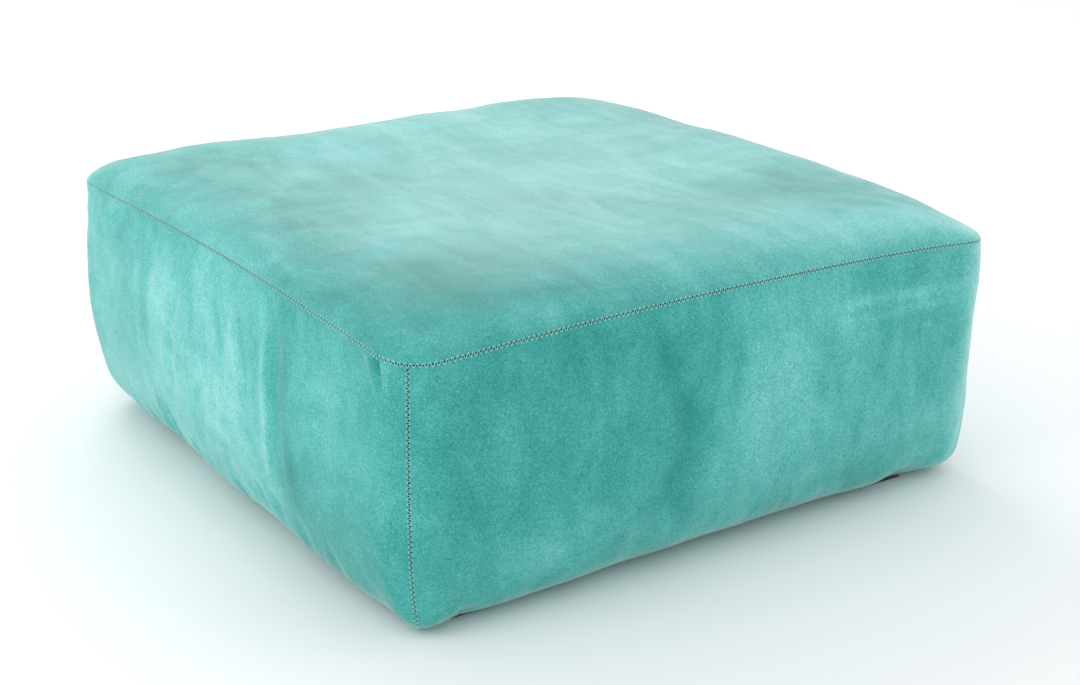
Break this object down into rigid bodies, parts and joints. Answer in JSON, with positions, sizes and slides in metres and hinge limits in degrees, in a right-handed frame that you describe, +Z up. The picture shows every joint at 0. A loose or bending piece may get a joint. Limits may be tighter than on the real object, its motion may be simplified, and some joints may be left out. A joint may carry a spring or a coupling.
{
  "type": "square upholstered floor pouf",
  "caption": "Large low square pouf: crowned microsuede top and bulged sides joined by open zigzag seams, over foam and a timber base on low black feet.",
  "frame": {"origin": "centre of the footprint, on the floor under the feet", "axes": "+Z up, -Y the front, +X to the right seen from the front; the plan is square, so any side can be the front"},
  "size_m": [1.0084, 1.0084, 0.4009],
  "materials": {
    "cover_fabric": "brushed microsuede with a short directional nap",
    "seam_tape": "woven cotton tape",
    "thread": "twisted polyester upholstery thread",
    "side_foam": "soft open-cell foam",
    "core_foam": "firm open-cell foam",
    "top_foam": "soft open-cell foam",
    "fibre": "bonded fibre wadding",
    "timber": "planed softwood",
    "block_timber": "sawn softwood",
    "webbing": "woven elastic webbing",
    "insulator": "needled felt",
    "dust_cloth": "black non-woven cloth",
    "foot_plastic": "satin moulded plastic",
    "screw_steel": "zinc-plated steel"
  },
  "bodies": {
    "root": {"cover_top_panel": "cover_fabric", "cover_front_panel": "cover_fabric", "cover_right_panel": "cover_fabric", "cover_back_panel": "cover_fabric", "cover_left_panel": "cover_fabric", "top_seam_tape": "seam_tape", "corner_seam_tape_front_left": "seam_tape", "corner_seam_tape_front_right": "seam_tape", "corner_seam_tape_back_right": "seam_tape", "corner_seam_tape_back_left": "seam_tape", "top_zigzag_stitch": "thread", "corner_zigzag_stitch_front_left": "thread", "corner_zigzag_stitch_front_right": "thread", "corner_zigzag_stitch_back_right": "thread", "corner_zigzag_stitch_back_left": "thread", "side_foam_front": "side_foam", "side_foam_right": "side_foam", "side_foam_back": "side_foam", "side_foam_left": "side_foam", "foam_core": "core_foam", "top_foam": "top_foam", "fibre_wrap_top": "fibre", "rail_front": "timber", "rail_back": "timber", "rail_left": "timber", "rail_right": "timber", "cross_rail": "timber", "corner_block_front_left": "block_timber", "corner_block_front_right": "block_timber", "corner_block_back_right": "block_timber", "corner_block_back_left": "block_timber", "webbing_x_1": "webbing", "webbing_x_2": "webbing", "webbing_x_3": "webbing", "webbing_x_4": "webbing", "webbing_x_5": "webbing", "webbing_y_1": "webbing", "webbing_y_2": "webbing", "webbing_y_3": "webbing", "webbing_y_4": "webbing", "webbing_y_5": "webbing", "webbing_insulator": "insulator", "dust_cover": "dust_cloth", "foot_front_left": "foot_plastic", "foot_front_right": "foot_plastic", "foot_back_right": "foot_plastic", "foot_back_left": "foot_plastic", "foot_screw_front_left_1": "screw_steel", "foot_screw_front_left_2": "screw_steel", "foot_screw_front_right_1": "screw_steel", "foot_screw_front_right_2": "screw_steel", "foot_screw_back_right_1": "screw_steel", "foot_screw_back_right_2": "screw_steel", "foot_screw_back_left_1": "screw_steel", "foot_screw_back_left_2": "screw_steel"}
  },
  "joints": []
}
